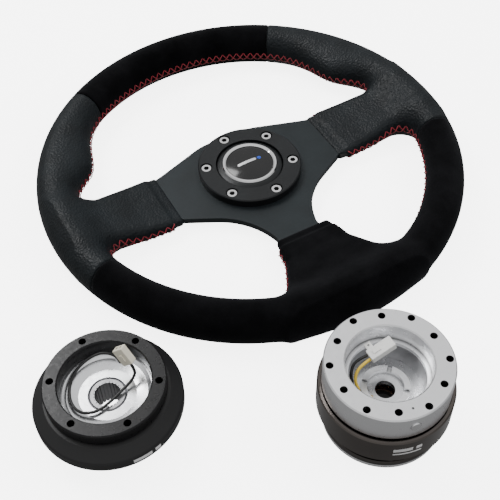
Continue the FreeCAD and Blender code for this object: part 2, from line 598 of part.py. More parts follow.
def make_coupling_base():
    disc = washer("base_disc", "disc_bore_rad", "disc_rad", "0", "disc_high", "coupling")
    bolt_circle(disc, "disc_bolts", "bolt_pcd", 6, "body_phase", "bolt_hole_rad", "disc_high", "disc_high")
    bevel(disc, "disc_bevel", "body_chamfer", "disc_rad", "0")
    keep(disc, "qr_base_disc")

    collar = turned("collar", [
        ("disc_bore_rad", "disc_high"), ("foot_rad", "disc_high"), ("foot_rad", "foot_top - 1.5"),
        ("foot_rad - 1", "foot_top - 0.4"), ("waist_rad + 4.5", "foot_top"),
        ("waist_rad + 1.2", "waist_low - 1.4"), ("waist_rad", "waist_low"), ("waist_rad", "waist_top"),
        ("waist_rad + 1.2", "deck_low - 1.6"), ("waist_rad + 4.5", "deck_low - 0.5"),
        ("deck_rad", "deck_low"), ("deck_rad", "deck_top"), ("collar_rad", "deck_top"),
        ("collar_rad", "seal_level - seal_rad - 0.05"), ("seal_groove_rad", "seal_level - seal_rad - 0.05"),
        ("seal_groove_rad", "seal_level + seal_rad + 0.05"), ("collar_rad", "seal_level + seal_rad + 0.05"),
        ("collar_rad", "clip_low"), ("clip_in_rad", "clip_low"),
        ("clip_in_rad", "clip_low + clip_thick"), ("collar_rad", "clip_low + clip_thick"),
        ("collar_rad", "collar_top"), ("collar_bore_rad", "collar_top"),
        ("collar_bore_rad", "deck_top"), ("disc_bore_rad", "deck_top")])
    bolt_circle(collar, "foot_bolts", "bolt_pcd", 6, "body_phase", "bolt_hole_rad", "foot_top + 1",
                "foot_top")
    bolt_circle(collar, "tool_holes", "bolt_pcd", 6, "body_phase", "tool_hole_rad", "deck_top",
                "deck_top - foot_top")
    ball_bore = Part.makeCylinder(cell("ball_bore_rad"), 12.0,
                                  Vector(cell("collar_bore_rad") - 3, 0, cell("ball_level")),
                                  Vector(1, 0, 0))
    bores = group("ball_bores", around(ball_bore, 6, cell("body_phase") + 30.0))
    dowel_hole = Part.makeCylinder(cell("dowel_rad"), cell("collar_top") - cell("dowel_low"),
                                   Vector(cell("dowel_orbit"), 0, cell("dowel_low")))
    seats = group("dowel_seats", around(dowel_hole, 3, cell("body_phase")))
    keep(in_unit(difference("qr_collar", collar, [bores, seats]), "coupling"), "qr_collar")

    screw = socket_screw(cell("base_head_rad"), cell("base_head_high"), cell("bolt_rad"),
                         cell("foot_top") + 5.5, cell("hex_rad"), cell("hex_deep"))
    screw.translate(Vector(cell("bolt_pcd") / 2, 0, cell("foot_top")))
    bolts = [s.cut(Part.makeBox(200, 200, 50, Vector(-100, -100, -50)))
             for s in around(screw, 6, cell("body_phase"))]
    keep(in_unit(group("base_bolt_group", bolts), "coupling"), "qr_base_bolts")

    dowel = Part.makeCylinder(cell("dowel_rad"), cell("dowel_top") - cell("dowel_low"),
                              Vector(cell("dowel_orbit"), 0, cell("dowel_low")))
    keep(in_unit(group("dowel_group", around(dowel, 3, cell("body_phase"))), "coupling"), "drive_dowels")

    clip = tube(cell("clip_in_rad"), cell("clip_rad"), cell("clip_low"),
                cell("clip_low") + cell("clip_thick"))
    gap = Part.makeBox(cell("clip_rad"), cell("clip_gap"), 2 * cell("clip_thick"),
                       Vector(0, -cell("clip_gap") / 2, cell("clip_low") - cell("clip_thick") / 2))
    keep(in_unit(solid("clip", clip.cut(gap)), "coupling"), "collar_snap_ring")

    for number in range(6):
        angle = cell("body_phase") + 30.0 + 60.0 * number
        ball = doc.addObject("Part::Sphere", f"ball{number + 1}")
        bind(ball, "Radius", "ball_rad")
        bind(ball, "Placement.Base.x", f"coupling_x + ball_out_rad * cos({angle})")
        bind(ball, "Placement.Base.y", f"coupling_y + ball_out_rad * sin({angle})")
        bind(ball, "Placement.Base.z", "coupling_z + ball_level")
        keep(ball, f"lock_ball_{number + 1}")

    carrier = washer("slip_carrier", "carrier_bore_rad", "carrier_rad", "carrier_low", "carrier_top",
                     "coupling")
    keep(carrier, "slip_ring_carrier")
    for name, inner, outer in (("slip_ring_outer", "slip_mid_rad", "slip_out_rad"),
                               ("slip_ring_inner", "slip_core_rad", "slip_in_rad")):
        keep(washer(name + "_track", inner, outer, "carrier_top", "carrier_top + slip_thick", "coupling"),
             name)


def make_lock_sleeve():
    sleeve_body = turned("lock_sleeve", [
        ("land_rad", "sleeve_low"), ("sleeve_rad", "sleeve_low"), ("sleeve_rad", "sleeve_top"),
        ("lip_rad", "sleeve_top"), ("lip_rad", "cone_top"), ("cone_rad", "cone_top"),
        ("land_rad", "land_top")], "coupling")
    bevel(sleeve_body, "sleeve_bevel", "sleeve_chamfer", "sleeve_rad", "sleeve_top")
    bevel(sleeve_body, "sleeve_foot_bevel", "sleeve_chamfer", "sleeve_rad", "sleeve_low")
    keep(sleeve_body, "qr_lock_ring")
    seal = doc.addObject("Part::Torus", "seal")
    bind(seal, "Radius1", "seal_orbit")
    bind(seal, "Radius2", "seal_rad")
    place(seal, "coupling")
    bind(seal, "Placement.Base.z", "coupling_z + seal_level")
    keep(seal, "lock_ring_o_ring")


def make_wheel_side():
    body = turned("coupling_body", [
        ("spigot_bore_rad", "body_recess_top"), ("body_recess_rad", "body_recess_top"),
        ("body_recess_rad", "body_low"), ("body_rad", "body_low"), ("body_rad", "body_top"),
        ("body_bore_rad", "body_top"), ("body_bore_rad", "body_recess_top + 3"),
        ("spigot_bore_rad", "body_recess_top + 3")])
    bolt_circle(body, "thread_70", "bolt_pcd", 6, "body_phase", "bolt_rad", "body_top", "thread_deep")
    bolt_circle(body, "thread_74", "wide_pcd", 6, "body_phase + 30", "bolt_rad", "body_top", "thread_deep")
    bevel(body, "body_bevel", "body_chamfer", "body_rad", "body_top")
    bevel(body, "bore_bevel", "body_chamfer", "body_bore_rad", "body_top")
    bevel(body, "body_foot_bevel", "body_chamfer", "body_rad", "body_low")
    length = cell("body_rad") - cell("press_bore_in") + 5
    bore = Part.makeCylinder(cell("button_bore_rad"), length,
                             Vector(cell("press_bore_in"), 0, cell("press_level")), Vector(1, 0, 0))
    bores = group("press_bores", around(bore, 2, cell("press_phase")))
    tap = Part.makeCylinder(cell("spigot_screw_rad"), 6.0,
                            Vector(cell("spigot_screw_orbit"), 0, cell("body_recess_top") - 0.5))
    taps = group("spigot_taps", around(tap, 4, cell("body_phase") + 20.0))
    mark = Part.makeCylinder(0.8, 2.0, Vector(34.0, 0, cell("body_top") - 0.8))
    mark.rotate(Vector(0, 0, 0), Vector(0, 0, 1), cell("body_phase") + 255.0)
    index = solid("index_dot", mark)
    keep(in_unit(difference("qr_body", body, [bores, taps, index]), "coupling"), "qr_body")

    spigot = turned("spigot", [
        ("spigot_bore_rad", "spigot_low"), ("spigot_rad - 1", "spigot_low"),
        ("spigot_rad", "spigot_low + 1"), ("spigot_rad", "ball_level - groove_half"),
        ("groove_rad", "ball_level - groove_half + 1.3"), ("groove_rad", "ball_level + groove_half - 1.3"),
        ("spigot_rad", "ball_level + groove_half"), ("spigot_rad", "spigot_flange_low"),
        ("spigot_flange_rad", "spigot_flange_low"), ("spigot_flange_rad", "body_recess_top"),
        ("spigot_bore_rad", "body_recess_top")])
    hole = Part.makeCylinder(cell("dowel_hole_rad"), 8.0,
                             Vector(cell("dowel_orbit"), 0, cell("spigot_flange_low") - 4))
    dowel_holes = group("spigot_dowel_holes", around(hole, 3, cell("body_phase")))
    low = cell("spigot_flange_low")
    through = Part.makeCylinder(cell("spigot_screw_rad"), 8, Vector(cell("spigot_screw_orbit"), 0, low - 1))
    sink = Part.makeCylinder(cell("spigot_screw_head"), 2.2,
                             Vector(cell("spigot_screw_orbit"), 0, low - 0.5))
    screw_holes = group("spigot_screw_holes", around(through.fuse(sink), 4, cell("body_phase") + 20.0))
    keep(in_unit(difference("qr_spigot", spigot, [dowel_holes, screw_holes]), "coupling"), "qr_spigot")

    shank = Part.makeCylinder(cell("spigot_screw_rad"), 8.6,
                              Vector(cell("spigot_screw_orbit"), 0, low + 0.3))
    head = Part.makeCylinder(cell("spigot_screw_head"), 1.4,
                             Vector(cell("spigot_screw_orbit"), 0, low + 0.3))
    screws = around(shank.fuse(head), 4, cell("body_phase") + 20.0)
    keep(in_unit(group("spigot_screw_group", screws), "coupling"), "spigot_screws")

    for number, side in enumerate(("front", "rear")):
        angle = cell("press_phase") + 180.0 * number
        press = Part.makeCylinder(cell("press_rad"), cell("press_out") - cell("press_in"),
                                  Vector(cell("press_in"), 0, cell("press_level")), Vector(1, 0, 0))
        rounded = [e for e in press.Edges if e.BoundBox.XMin > cell("press_out") - 0.01]
        press = press.makeFillet(cell("press_dome"), rounded)
        press.rotate(Vector(0, 0, 0), Vector(0, 0, 1), angle)
        keep(in_unit(solid(f"press_{side}", press), "coupling"), f"qr_button_{side}")
        spring = coil(cell("press_coil_rad"), cell("press_wire_rad"), cell("press_pitch"),
                      cell("press_in") - cell("press_bore_in"), cell("press_bore_in"))
        spring.rotate(Vector(0, 0, 0), Vector(0, 1, 0), 90.0)
        spring.translate(Vector(0, 0, cell("press_level")))
        spring.rotate(Vector(0, 0, 0), Vector(0, 0, 1), angle)
        keep(in_unit(solid(f"press_coil_{side}", spring), "coupling"), f"button_spring_{side}")


def make_coupling_contacts():
    plate = washer("contact_disc", "contact_bore_rad", "contact_rad", "contact_low", "contact_top",
                   "coupling")
    for name, orbit, angle in (("outer", "slip_out_rad - 1.5", "0"), ("inner", "slip_in_rad - 1.5", "180")):
        bolt_circle(plate, f"pin_hole_{name}", f"2 * ({orbit})", 1, angle, "pin_rad", "contact_top",
                    "contact_top - contact_low")
    keep(plate, "contact_plate")
    crown = tube(cell("crown_in_rad"), cell("crown_out_rad"), cell("contact_top"), cell("crown_top"))
    slot = Part.makeBox(cell("crown_out_rad") + 1, cell("slot_wide"), cell("slot_deep") + 1,
                        Vector(0, -cell("slot_wide") / 2, cell("crown_top") - cell("slot_deep")))
    for piece in around(slot, 4, 45.0):
        crown = crown.cut(piece)
    keep(in_unit(solid("crown", crown), "coupling"), "contact_retainer")
    low = cell("carrier_top") + cell("slip_thick") + 0.3
    pins = [Part.makeCylinder(cell("pin_rad"), cell("contact_top") - low, Vector(x, 0, low))
            for x in (cell("slip_out_rad") - 1.5, 1.5 - cell("slip_in_rad"))]
    keep(in_unit(group("pin_group", pins), "coupling"), "contact_pins")
    for name, route in (("wire_yellow", YELLOW_WIRE), ("wire_black", BLACK_WIRE)):
        keep(in_unit(solid(name + "_run", cord_tube(name, route, cell("wire_rad"))), "coupling"), name)
    yellow_end, black_end = YELLOW_WIRE[-1], BLACK_WIRE[-1]
    spot = (yellow_end[0] + cell("plug_gap"), (yellow_end[1] + black_end[1]) / 2, yellow_end[2])
    plug = connector(spot, (1, 0, 0.27), cell("qr_plug_long"), cell("qr_plug_wide"),
                     cell("plug_thick"), eared=True)
    keep(in_unit(solid("coupling_plug", plug), "coupling"), "qr_connector")


# ---------------------------------------------------------------- hub adapter

def make_hub():
    top = turned("hub_top", [
        ("top_bore_rad", "top_low"), ("skirt_top_rad - 2", "top_low"), ("skirt_top_rad - 2", "cover_top"),
        ("top_rad", "cover_top"), ("top_rad", "hub_high"), ("top_bore_rad", "hub_high")], "hub")
    bolt_circle(top, "hub_taps", "bolt_pcd", 6, "hub_phase", "tap_rad", "hub_high", "tap_deep")
    bevel(top, "top_outer_bevel", "top_chamfer", "top_rad", "hub_high")
    bevel(top, "top_inner_bevel", "top_chamfer", "top_bore_rad", "hub_high")
    keep(top, "hub_flange")

    keep(turned("cover", [
        ("cover_in_rad", "cover_neck"), ("skirt_top_rad", "cover_neck"),
        ("cover_in_rad + 4.6", "cover_neck - 0.8"),
        ("band_rad - 1", "band_top + 0.6"), ("band_rad", "band_top - 0.6"), ("band_rad", "band_low + 0.6"),
        ("band_rad - 1", "band_low - 0.4"), ("cover_low_rad", "cover_low"),
        ("drum_rad + 0.1", "cover_low"), ("drum_rad + 0.1", "band_low + 0.5"),
        ("band_rad - cover_wall", "band_low + 1.5"), ("band_rad - cover_wall", "band_top - 1"),
        ("drum_rad + 0.2", "drum_top - 1.8"), ("cover_in_rad", "drum_top + 0.1")], "hub"), "hub_cover")

    drum = turned("drum", [
        ("bowl_rad + 0.1", "horn_ring_thick"), ("drum_rad - drum_chamfer", "horn_ring_thick"),
        ("drum_rad", "horn_ring_thick + drum_chamfer"), ("drum_rad", "band_top - 2"),
        ("cover_in_rad - 0.2", "drum_top - 1"), ("cover_in_rad - 0.2", "top_low"),
        ("bowl_rad + 0.1", "top_low")], "hub")
    keep(drum, "hub_drum")

    keep(turned("bowl", [
        ("core_rad", "bowl_floor - bowl_thick"), ("bowl_rad", "bowl_floor - bowl_thick"),
        ("bowl_rad", "bowl_top"), ("bowl_rad - 1", "bowl_top"), ("bowl_rad - 3.5", "bowl_floor + 2.2"),
        ("bowl_rad - 9", "bowl_floor + 0.6"), ("bowl_rad - 11", "bowl_floor"),
        ("core_rad", "bowl_floor")], "hub"), "hub_bowl")

    core = turned("core", [
        ("spline_rad", "core_low"), ("core_rad + 4", "core_low"), ("core_rad + 4", "core_low + 3"),
        ("core_rad", "core_low + 3"), ("core_rad", "core_top - 1.5"), ("core_rad - 1.5", "core_top"),
        ("spline_rad", "core_top")])
    tooth = Part.makeBox(cell("tooth_deep") + 0.4, 0.5, cell("core_top") - cell("core_low"),
                         Vector(cell("spline_rad") - 0.4, -0.25, cell("core_low")))
    grooves = group("spline_grooves", around(tooth, 24))
    keep(in_unit(difference("hub_core", core, [grooves]), "hub"), "hub_spline_core")

    keep(washer("horn_track", "horn_ring_in", "horn_ring_rad", "slip_low", "horn_ring_thick", "hub"),
         "hub_horn_ring")
    cam = turned("cancel_cam_body", [
        ("cam_in_rad", "horn_ring_thick"), ("cam_rad", "horn_ring_thick"),
        ("cam_rad", "horn_ring_thick + cam_high"), ("cam_in_rad", "horn_ring_thick + cam_high")])
    notch = Part.makeBox(12, 8, 4, Vector(cell("cam_in_rad") - 2, -4, cell("horn_ring_thick") - 0.1))
    keep(in_unit(difference("cancel_cam", cam, [group("cam_notches", around(notch, 2, 30.0))]), "hub"),
         "cancel_cam")

    wire = cord_tube("hub_wire", HUB_WIRE, cell("wire_rad"))
    floor_hole = rod("wire_hole", "wire_rad", "hub_high", (HUB_WIRE[0][0], HUB_WIRE[0][1], 0))
    doc.recompute()
    keep(in_unit(solid("hub_wire_run", wire), "hub"), "hub_wire")
    bowl = made.pop("hub_bowl")
    bowl.Label = "bowl_blank"
    for axis in "xyz":
        bowl.setExpression(f"Placement.Base.{axis}", None)
    bowl.Placement = Placement()
    keep(in_unit(difference("hub_bowl_cut", bowl, [floor_hole]), "hub"), "hub_bowl")
    last, before = Vector(*HUB_WIRE[-1]), Vector(*HUB_WIRE[-2])
    run = last - before
    plug = connector(tuple(last), (run.x, run.y, run.z), cell("plug_long"), cell("plug_wide"),
                     cell("plug_thick"))
    keep(in_unit(solid("hub_plug", plug), "hub"), "hub_connector")


def write_parts():
    doc.recompute()
    for obj in doc.Objects:
        bad = [flag for flag in obj.State if flag in ("Invalid", "Error")]
        assert not bad, f"{obj.Label} failed: {bad}"
    os.makedirs("parts", exist_ok=True)
    for label, obj in made.items():
        shape = obj.Shape
        assert not shape.isNull() and shape.isValid(), label + " has no valid shape"
        assert shape.Volume > 1.0, label + " has no volume"
        shape.exportStep(f"parts/{label}.step")
    print(f"{len(made)} nodes written")


fill_sheet()
spoke_plate = keep(make_plate(), "spoke_plate")
rim_frame, rim_rivets = make_frame_and_rivets()
make_grips(spoke_plate, rim_frame, rim_rivets)
make_horn()
make_coupling_base()
make_lock_sleeve()
make_wheel_side()
make_coupling_contacts()
make_hub()
write_parts()
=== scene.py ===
"""Looks of the quick release steering wheel kit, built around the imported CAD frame.

Lengths are metres. The frame's origin is the centre of the wheel's mounting face, +Z points to
the driver and +Y to 12 o'clock. The coupling and the hub adapter stand beside the wheel.
"""
import json
import math
import bpy
import numpy as np
from mathutils import Matrix, Quaternion, Vector


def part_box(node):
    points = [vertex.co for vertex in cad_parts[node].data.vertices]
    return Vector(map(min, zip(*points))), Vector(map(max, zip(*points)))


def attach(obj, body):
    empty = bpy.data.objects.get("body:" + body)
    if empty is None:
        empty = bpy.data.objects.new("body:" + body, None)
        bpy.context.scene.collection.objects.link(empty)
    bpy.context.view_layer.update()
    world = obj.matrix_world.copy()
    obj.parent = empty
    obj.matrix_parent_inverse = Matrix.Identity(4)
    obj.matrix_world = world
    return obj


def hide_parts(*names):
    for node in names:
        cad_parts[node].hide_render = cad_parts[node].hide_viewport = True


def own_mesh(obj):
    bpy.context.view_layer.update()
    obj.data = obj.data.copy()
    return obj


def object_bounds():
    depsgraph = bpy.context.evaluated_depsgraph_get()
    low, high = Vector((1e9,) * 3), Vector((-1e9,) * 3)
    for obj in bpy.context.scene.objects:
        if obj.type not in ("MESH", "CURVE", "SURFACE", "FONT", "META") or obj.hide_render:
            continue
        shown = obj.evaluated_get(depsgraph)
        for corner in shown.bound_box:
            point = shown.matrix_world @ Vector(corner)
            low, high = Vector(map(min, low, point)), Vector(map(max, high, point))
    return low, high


MM = 0.001
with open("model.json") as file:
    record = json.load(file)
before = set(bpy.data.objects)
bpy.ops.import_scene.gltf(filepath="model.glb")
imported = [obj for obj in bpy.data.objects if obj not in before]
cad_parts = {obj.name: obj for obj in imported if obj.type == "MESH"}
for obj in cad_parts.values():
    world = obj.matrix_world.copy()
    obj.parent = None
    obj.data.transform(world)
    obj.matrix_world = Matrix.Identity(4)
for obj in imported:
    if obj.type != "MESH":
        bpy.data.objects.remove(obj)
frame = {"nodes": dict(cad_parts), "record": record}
cad_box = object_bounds()
nodes = frame["nodes"]


def middle(node):
    low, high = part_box(node)
    return (low + high) / 2


COUPLING = Vector((middle("qr_body").x, middle("qr_body").y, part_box("qr_base_disc")[0].z))
HUB = Vector((middle("hub_flange").x, middle("hub_flange").y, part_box("hub_horn_ring")[0].z))
FLOOR = cad_box[0][2]

# ---------------------------------------------------------------- camera, floor and lights

CAMERA_SPOT = Vector((-0.2439, -0.4647, 0.5309))
CAMERA_TARGET = Vector((-0.0435, -0.0791, 0.011))
CAMERA_ROLL = math.radians(-1.97)
CAMERA_LENS = 65.8
HORIZON_LIGHT = 0.25
ZENITH_LIGHT = 0.95
FLOOR_GLOW = 5.0
FLOOR_HALF = 60.0
# right of, away from and above the camera's aim; size; power; seen in reflections or not
LIGHTS = {
    "key": ((-0.7, 0.5, 1.1), (0.7, 0.5), 12, True),
    "fill": ((0.9, -0.1, 0.9), (0.6, 0.5), 7, False),
    "back": ((0.1, 1.3, 0.6), (0.9, 0.3), 7, False),
}
LIT_SPOT = Vector((0, -0.05))


def add_camera():
    data = bpy.data.cameras.new("camera")
    data.lens = CAMERA_LENS
    data.sensor_width = 36.0
    data.clip_start = 0.01
    data.clip_end = 200.0
    camera = bpy.data.objects.new("camera", data)
    bpy.context.scene.collection.objects.link(camera)
    aim = (CAMERA_TARGET - CAMERA_SPOT).to_track_quat("-Z", "Y")
    roll = Quaternion((0, 0, 1), CAMERA_ROLL)
    camera.matrix_world = Matrix.Translation(CAMERA_SPOT) @ (aim @ roll).to_matrix().to_4x4()
    bpy.context.scene.camera = camera


def add_area_light(name, spot, size, power, mirrored):
    """Soft rectangular light that points at the frame's origin."""
    data = bpy.data.lights.new(name, "AREA")
    data.shape = "RECTANGLE"
    data.size, data.size_y = size
    data.energy = power
    lamp = bpy.data.objects.new(name, data)
    bpy.context.scene.collection.objects.link(lamp)
    lamp.location = spot
    lamp.visible_glossy = mirrored
    lamp.rotation_euler = (-spot).to_track_quat("-Z", "Y").to_euler()


def turned_spot(right, away, up):
    """A spot given as seen by the camera: to its right, away from it and up, in metres."""
    heading = (CAMERA_TARGET - CAMERA_SPOT).to_2d().normalized()
    across = Vector((heading.y, -heading.x))
    flat = LIT_SPOT + across * right + heading * away
    return Vector((flat.x, flat.y, up))


def light_sky(tree):
    """White sky that is brightest overhead, so that upright walls of bright metal look darker."""
    direction = tree.nodes.new("ShaderNodeTexCoord").outputs["Generated"]
    split = tree.nodes.new("ShaderNodeSeparateXYZ")
    tree.links.new(direction, split.inputs["Vector"])
    climb = tree.nodes.new("ShaderNodeMapRange")
    climb.inputs["From Min"].default_value = -0.1
    climb.inputs["From Max"].default_value = 0.8
    climb.inputs["To Min"].default_value = HORIZON_LIGHT
    climb.inputs["To Max"].default_value = ZENITH_LIGHT
    tree.links.new(split.outputs["Z"], climb.inputs["Value"])
    tree.links.new(climb.outputs["Result"], tree.nodes["Background"].inputs["Strength"])
    tree.nodes["Background"].inputs["Color"].default_value = (1, 1, 1, 1)


def add_stage():
    floor_mesh = bpy.data.meshes.new("floor")
    corners = [(x * FLOOR_HALF, y * FLOOR_HALF, FLOOR) for x, y in ((-1, -1), (1, -1), (1, 1), (-1, 1))]
    floor_mesh.from_pydata(corners, [], [(0, 1, 2, 3)])
    floor = bpy.data.objects.new("floor", floor_mesh)
    bpy.context.scene.collection.objects.link(floor)
    floor.data.materials.append(MATERIALS["floor"])
    floor.visible_diffuse = False
    floor.visible_glossy = False
    world = bpy.data.worlds.new("studio")
    world.use_nodes = True
    light_sky(world.node_tree)
    bpy.context.scene.world = world
    for name, (place, size, power, mirrored) in LIGHTS.items():
        add_area_light(name, turned_spot(*place), size, power, mirrored)


# ---------------------------------------------------------------- materials

class Shader:
    """A node material: the principled shader and short ways to feed it."""

    def __init__(self, name, colour, roughness, metallic=0.0):
        self.material = bpy.data.materials.new(name)
        self.material.use_nodes = True
        self.tree = self.material.node_tree
        self.surface = self.tree.nodes["Principled BSDF"]
        self.set("Base Color", (*colour, 1))
        self.set("Roughness", roughness)
        self.set("Metallic", metallic)
        self.place = self.node("ShaderNodeTexCoord").outputs["Object"]
        self.heights = []

    def set(self, socket, value):
        self.surface.inputs[socket].default_value = value

    def node(self, kind, **settings):
        node = self.tree.nodes.new(kind)
        for key, value in settings.items():
            setattr(node, key, value)
        return node

    def link(self, source, target):
        self.tree.links.new(source, target)

    def noise(self, scale, detail=3.0, rough=0.5, stretch=None):
        node = self.node("ShaderNodeTexNoise")
        node.inputs["Scale"].default_value = scale
        node.inputs["Detail"].default_value = detail
        node.inputs["Roughness"].default_value = rough
        place = self.place
        if stretch:
            mapping = self.node("ShaderNodeMapping")
            mapping.inputs["Scale"].default_value = stretch
            self.link(place, mapping.inputs["Vector"])
            place = mapping.outputs["Vector"]
        self.link(place, node.inputs["Vector"])
        return node.outputs["Fac"]

    def voronoi(self, scale, feature="F1", randomness=1.0, smooth=None):
        node = self.node("ShaderNodeTexVoronoi", feature=feature)
        node.inputs["Scale"].default_value = scale
        node.inputs["Randomness"].default_value = randomness
        if smooth is not None:
            node.inputs["Smoothness"].default_value = smooth
        self.link(self.place, node.inputs["Vector"])
        return node.outputs["Distance"]

    def ramp(self, source, stops):
        node = self.node("ShaderNodeValToRGB")
        elements = node.color_ramp.elements
        while len(elements) < len(stops):
            elements.new(0.5)
        for element, (place, colour) in zip(elements, stops):
            element.position = place
            element.color = (*colour, 1) if isinstance(colour, tuple) else (colour, colour, colour, 1)
        self.link(source, node.inputs["Fac"])
        return node.outputs["Color"]

    def bump(self, source, strength, distance):
        node = self.node("ShaderNodeBump")
        node.inputs["Strength"].default_value = strength
        node.inputs["Distance"].default_value = distance
        self.link(source, node.inputs["Height"])
        if self.heights:
            self.link(self.heights[-1], node.inputs["Normal"])
        self.heights.append(node.outputs["Normal"])
        self.link(node.outputs["Normal"], self.surface.inputs["Normal"])

    def colour_from(self, source, stops):
        self.link(self.ramp(source, stops), self.surface.inputs["Base Color"])

    def paint_hollow_shade(self, reach, dark, light):
        """Painted shade: the colour darkens in narrow hollows, such as hex sockets and threaded holes,
        as an occlusion node reads them.
        """
        node = self.node("ShaderNodeAmbientOcclusion", samples=8)
        node.inputs["Distance"].default_value = reach
        self.colour_from(node.outputs["AO"], [(0.35, dark), (0.8, light)])

    def roughness_from(self, source, low, high):
        self.link(self.ramp(source, [(0.3, low), (0.7, high)]), self.surface.inputs["Roughness"])


def shade(colour, factor):
    return tuple(min(1.0, c * factor) for c in colour)


def leather():
    black = (0.0058, 0.0078, 0.0092)
    look = Shader("leather", black, 0.42)
    look.set("Specular IOR Level", 0.2)
    look.colour_from(look.noise(60, 5), [(0.3, shade(black, 0.75)), (0.7, shade(black, 1.35))])
    look.roughness_from(look.noise(240, 4), 0.36, 0.52)
    look.bump(look.voronoi(600, "SMOOTH_F1", 1.0, 0.4), 0.8, 0.0006)
    look.bump(look.noise(2600, 2), 0.25, 0.00012)
    return look.material


def suede():
    black = (0.0022, 0.0022, 0.0025)
    look = Shader("suede", black, 0.95)
    look.set("Specular IOR Level", 0.03)
    look.set("Sheen Weight", 0.07)
    look.set("Sheen Roughness", 0.45)
    look.set("Sheen Tint", (0.6, 0.62, 0.68, 1))
    look.colour_from(look.noise(38, 6, 0.65), [(0.35, shade(black, 0.6)), (0.7, shade(black, 2.0))])
    look.bump(look.noise(3200, 3, 0.7), 0.5, 0.0003)
    look.bump(look.noise(160, 4, 0.6), 0.25, 0.0005)
    return look.material


def thread():
    red = (0.3, 0.006, 0.02)
    look = Shader("red_thread", red, 0.55)
    look.set("Sheen Weight", 0.3)
    look.colour_from(look.noise(1500, 2), [(0.3, shade(red, 0.65)), (0.7, shade(red, 1.2))])
    look.bump(look.noise(5200, 2), 0.5, 0.0002)
    return look.material


def anodised(name, colour, roughness, grain=0.12):
    look = Shader(name, colour, roughness, 0.35)
    look.set("Specular IOR Level", 0.5)
    look.colour_from(look.noise(55, 4), [(0.3, shade(colour, 0.85)), (0.7, shade(colour, 1.2))])
    look.roughness_from(look.noise(420, 4), roughness - 0.05, roughness + 0.08)
    look.bump(look.noise(3800, 2), grain, 0.0001)
    return look.material


def metal(name, colour, roughness, scratch=0.06, painted_shade_reach=None):
    look = Shader(name, colour, roughness, 1.0)
    # with a reach given, painted shade darkens narrow hollows in place of a random tone
    if painted_shade_reach:
        look.paint_hollow_shade(painted_shade_reach, shade(colour, 0.06), colour)
    else:
        look.colour_from(look.noise(80, 3), [(0.3, shade(colour, 0.93)), (0.7, shade(colour, 1.04))])
    look.roughness_from(look.noise(300, 4), max(0.02, roughness - 0.04), roughness + 0.06)
    look.bump(look.noise(900, 3, 0.6, (1, 1, 6)), scratch, 0.00008)
    return look.material


def plastic(name, colour, roughness, coat=0.0):
    look = Shader(name, colour, roughness)
    look.set("Coat Weight", coat)
    look.colour_from(look.noise(90, 3), [(0.3, shade(colour, 0.93)), (0.7, shade(colour, 1.05))])
    look.bump(look.noise(2200, 2), 0.08 if not coat else 0.0, 0.0001)
    return look.material


def floor_material():
    look = Shader("floor", (0.95, 0.95, 0.95), 0.55)
    look.set("Specular IOR Level", 0.2)
    look.set("Emission Color", (1, 1, 1, 1))
    look.set("Emission Strength", FLOOR_GLOW)
    look.roughness_from(look.noise(8, 2), 0.5, 0.6)
    return look.material


MATERIALS = {
    "floor": floor_material(),
    "leather": leather(),
    "suede": suede(),
    "red_thread": thread(),
    "foam": plastic("foam", (0.02, 0.02, 0.02), 0.9),
    "plate_black": anodised("plate_black", (0.0085, 0.0125, 0.0145), 0.42),
    "horn_black": anodised("horn_black", (0.0065, 0.0075, 0.0085), 0.36),
    "gloss_black": plastic("gloss_black", (0.002, 0.002, 0.0024), 0.16, 0.1),
    "black_plastic": plastic("black_plastic", (0.015, 0.015, 0.015), 0.5),
    "steel": metal("steel", (0.45, 0.45, 0.46), 0.35),
    # bright steel: painted shade in the screws' hex sockets
    "bright_steel": metal("bright_steel", (0.86, 0.86, 0.87), 0.2, painted_shade_reach=0.004),
    "dark_steel": metal("dark_steel", (0.09, 0.09, 0.1), 0.35),
    "grey_steel": metal("grey_steel", (0.34, 0.34, 0.35), 0.38),
    "spring_steel": metal("spring_steel", (0.5, 0.5, 0.5), 0.25),
    "brass": metal("brass", (0.7, 0.52, 0.24), 0.25),
    "copper": metal("copper", (0.72, 0.4, 0.25), 0.25),
    "chrome": metal("chrome", (0.82, 0.82, 0.83), 0.06, 0.0),
    # silver: painted shade in the ring's threaded holes
    "silver": metal("silver", (0.93, 0.935, 0.95), 0.3, painted_shade_reach=0.005),
    "gunmetal": metal("gunmetal", (0.06, 0.055, 0.052), 0.3),
    "gunmetal_chrome": metal("gunmetal_chrome", (0.105, 0.093, 0.086), 0.14, 0.02),
    "rubber": plastic("rubber", (0.012, 0.012, 0.012), 0.7),
    "hub_black": anodised("hub_black", (0.0045, 0.0045, 0.005), 0.3),
    "hub_rubber": plastic("hub_rubber", (0.004, 0.004, 0.0045), 0.5),
    "printed_white": plastic("printed_white", (0.8, 0.8, 0.8), 0.4),
    "zinc": metal("zinc", (0.85, 0.86, 0.88), 0.24),
    "blue_inlay": plastic("blue_inlay", (0.01, 0.06, 0.4), 0.25),
    "wire_black": plastic("wire_black", (0.012, 0.012, 0.012), 0.38),
    "wire_yellow": plastic("wire_yellow", (0.75, 0.52, 0.05), 0.4),
    "white_plastic": plastic("white_plastic", (0.75, 0.75, 0.73), 0.45),
    "ivory_plastic": plastic("ivory_plastic", (0.72, 0.68, 0.56), 0.45),
}


def dress_cad_nodes():
    slots = {row["node"]: row["material_slot"] for row in frame["record"]["subparts"]}
    for name, obj in nodes.items():
        obj.data.materials.clear()
        obj.data.materials.append(MATERIALS[slots[name]])


# ---------------------------------------------------------------- grips: smooth solids from distances
# Inside this section lengths are millimetres; a field is the signed distance to a grip's skin.

